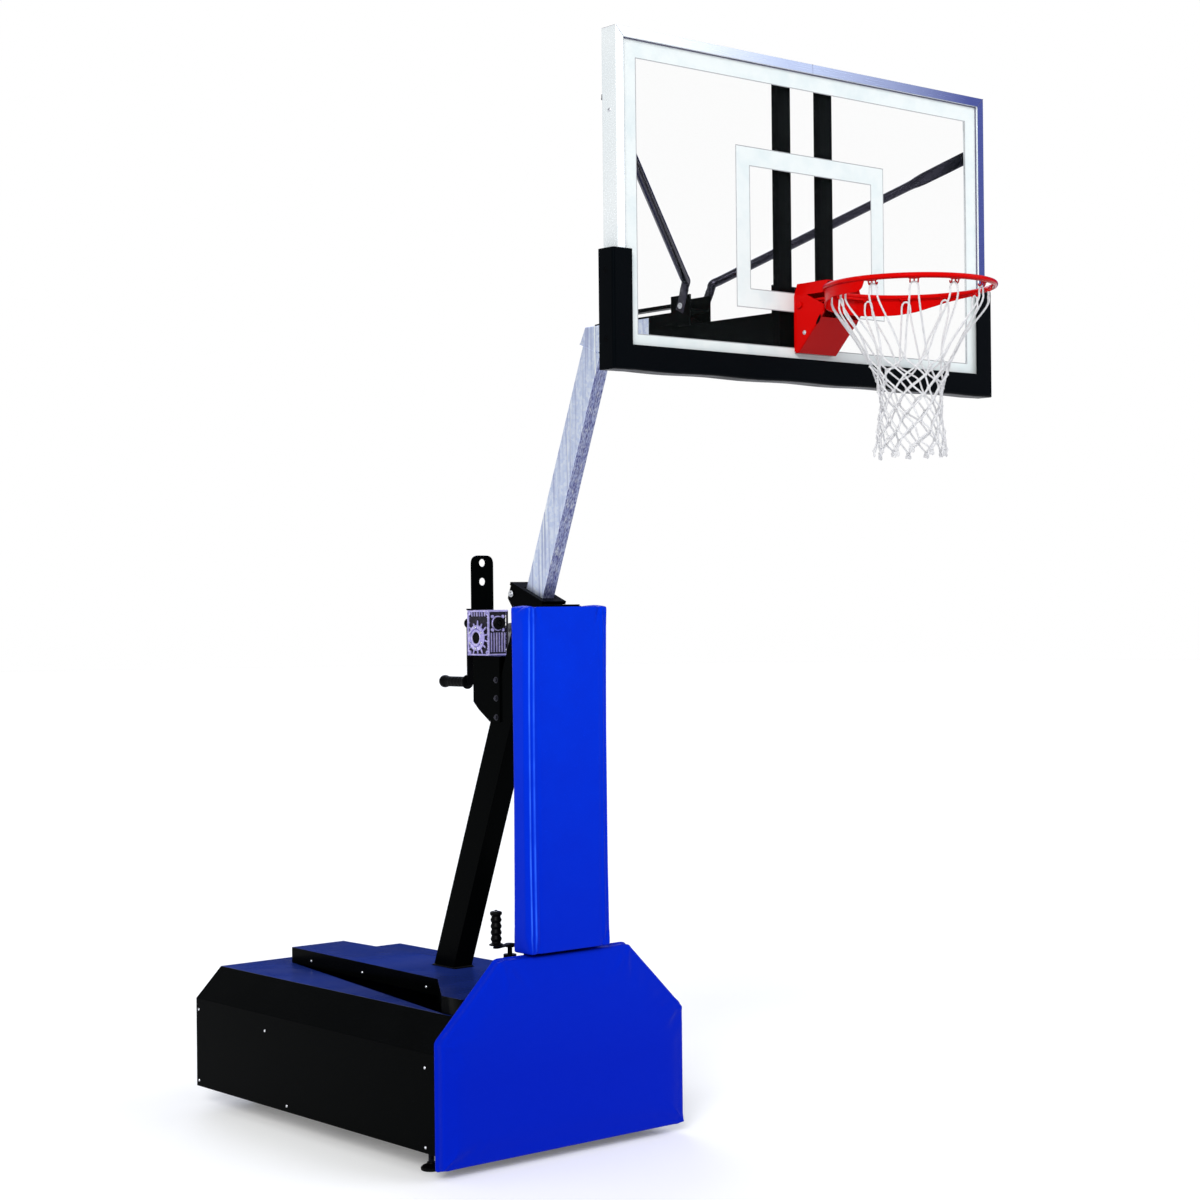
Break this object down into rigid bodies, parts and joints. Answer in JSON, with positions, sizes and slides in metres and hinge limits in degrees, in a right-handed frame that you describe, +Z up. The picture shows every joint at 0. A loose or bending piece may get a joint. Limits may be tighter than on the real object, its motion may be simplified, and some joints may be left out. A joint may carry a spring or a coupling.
{
  "type": "portable basketball hoop",
  "caption": "Ballasted wheeled base with padded front, leaning crank-raised mast, glass backboard on a braced boom, and a breakaway rim with a net.",
  "frame": {"origin": "on the floor, under the centre of the whole object's box", "axes": "+Z up, -Y towards the court (the rim side), +X to the right when facing +Y; X = 0 is the middle plane of the board"},
  "size_m": [1.57, 3.319, 3.408],
  "materials": {
    "black_enamel": "gloss black powder coat",
    "black_frame": "satin black paint",
    "concrete": "cast concrete, matt",
    "blue_vinyl": "grained blue vinyl over foam",
    "black_vinyl": "black vinyl skin over foam",
    "galvanised": "hot-dip galvanised, spangled",
    "zinc_fasteners": "bright zinc",
    "cast_alloy": "cast, lightly blasted",
    "bronze": "machined bronze",
    "machined_steel": "machined steel",
    "nylon": "natural nylon",
    "black_grip": "moulded rubber",
    "wheel_rubber": "solid rubber",
    "anodised": "satin anodised extrusion",
    "glass": "clear tempered glass",
    "rim_orange": "gloss orange-red powder coat",
    "net_cord": "white braided nylon cord"
  },
  "bodies": {
    "root": {"base_frame": "black_frame", "ballast_blocks": "concrete", "side_cover_left": "black_enamel", "side_cover_right": "black_enamel", "centre_cover": "black_enamel", "rear_panel": "black_enamel", "front_panel": "black_frame", "cover_screws": "zinc_fasteners", "base_pad": "blue_vinyl", "column_pad": "blue_vinyl", "column_channel": "black_frame", "mast_outer": "black_enamel", "mast_collar": "black_enamel", "mast_guides": "nylon", "winch_cheek_left": "black_enamel", "winch_cheek_right": "black_enamel", "winch_seat": "black_enamel", "winch_plate": "black_enamel", "gearbox_housing": "cast_alloy", "gearbox_covers": "cast_alloy", "hoist_rope": "machined_steel", "machine_bolts": "zinc_fasteners", "wheel_axles": "zinc_fasteners", "levelling_feet": "black_grip", "jack_tube": "black_frame"},
    "carriage": {"upper_mast": "galvanised", "slider_shoe": "nylon", "boom": "black_enamel", "boom_plate": "black_enamel", "tie_bar": "black_enamel", "brace_bracket": "black_enamel", "brace_left": "black_enamel", "brace_right": "black_enamel", "upright_left": "black_enamel", "upright_right": "black_enamel", "board_frame": "anodised", "glass": "glass", "edge_pad": "black_vinyl", "board_bolts": "zinc_fasteners", "rim_bracket": "rim_orange", "rim_cover": "rim_orange", "rim_pin": "zinc_fasteners", "rim_springs": "zinc_fasteners"},
    "rim": {"rim_ring": "rim_orange", "rim_yoke": "rim_orange", "net_hooks": "rim_orange", "net": "net_cord"},
    "hoist_crank": {"worm_shaft": "machined_steel", "crank_arm": "black_frame"},
    "hoist_grip": {"crank_grip": "black_grip"},
    "drum": {"worm_wheel": "bronze", "hoist_drum": "machined_steel"},
    "sheave": {"sheave": "machined_steel"},
    "rear_wheel_l": {"rear_wheel_left": "wheel_rubber"},
    "rear_wheel_r": {"rear_wheel_right": "wheel_rubber"},
    "jack_screw": {"jack_crank": "black_frame"},
    "jack_knob": {"jack_grip": "black_grip"},
    "jack_foot": {"jack_leg": "black_frame"},
    "jack_roller": {"jack_wheel": "wheel_rubber"}
  },
  "joints": [
    {"name": "hoist_crank_turn", "type": "hinge", "parent": "root", "child": "hoist_crank", "pos_m": [0, 0.643, 1.77], "axis": [0, 1, 0], "range_deg": [-8385, 6494]},
    {"name": "mast_slide", "type": "slide", "parent": "root", "child": "carriage", "axis": [0, -0.3649, 0.9311], "range_m": [-0.4615, 0.3575], "deforming": ["hoist_rope"]},
    {"name": "drum_turn", "type": "hinge", "parent": "root", "child": "drum", "pos_m": [0, 0.548, 1.72], "axis": [1, 0, 0], "range_deg": [-843, 653]},
    {"name": "sheave_turn", "type": "hinge", "parent": "root", "child": "sheave", "pos_m": [0.023, 0.34677, 1.87058], "axis": [1, 0, 0], "range_deg": [-990, 1280]},
    {"name": "hoist_grip_turn", "type": "hinge", "parent": "hoist_crank", "child": "hoist_grip", "pos_m": [0, 0.663, 1.565], "axis": [0, 1, 0], "continuous": true},
    {"name": "rim_breakaway", "type": "hinge", "parent": "carriage", "child": "rim", "pos_m": [0, -1.06, 2.695], "axis": [1, 0, 0], "range_deg": [0, 25], "stiffness_Nm_per_rad": 400, "springref_deg": -20.05, "deforming": ["rim_springs"]},
    {"name": "rear_wheel_left_spin", "type": "hinge", "parent": "root", "child": "rear_wheel_l", "pos_m": [-0.262, 1.59, 0.055], "axis": [1, 0, 0], "continuous": true},
    {"name": "rear_wheel_right_spin", "type": "hinge", "parent": "root", "child": "rear_wheel_r", "pos_m": [0.262, 1.59, 0.055], "axis": [1, 0, 0], "continuous": true},
    {"name": "jack_crank_turn", "type": "hinge", "parent": "root", "child": "jack_screw", "pos_m": [-0.085, 0.329, 0.69], "axis": [0, 0, 1], "range_deg": [0, 2880]},
    {"name": "jack_leg_slide", "type": "slide", "parent": "root", "child": "jack_foot", "axis": [0, 0, 1], "range_m": [-0.0401, 0]},
    {"name": "jack_grip_turn", "type": "hinge", "parent": "jack_screw", "child": "jack_knob", "pos_m": [-0.16487, 0.29993, 0.7], "axis": [0, 0, 1], "continuous": true},
    {"name": "jack_roller_spin", "type": "hinge", "parent": "jack_foot", "child": "jack_roller", "pos_m": [-0.085, 0.329, 0.08], "axis": [1, 0, 0], "continuous": true}
  ],
  "couplings": [
    {"joint": "mast_slide", "follows": "hoist_crank_turn", "m_per_rad": 0.00315},
    {"joint": "drum_turn", "follows": "hoist_crank_turn", "ratio": 0.1},
    {"joint": "sheave_turn", "follows": "hoist_crank_turn", "ratio": -0.14929},
    {"joint": "jack_leg_slide", "follows": "jack_crank_turn", "m_per_rad": -0.0007958}
  ]
}
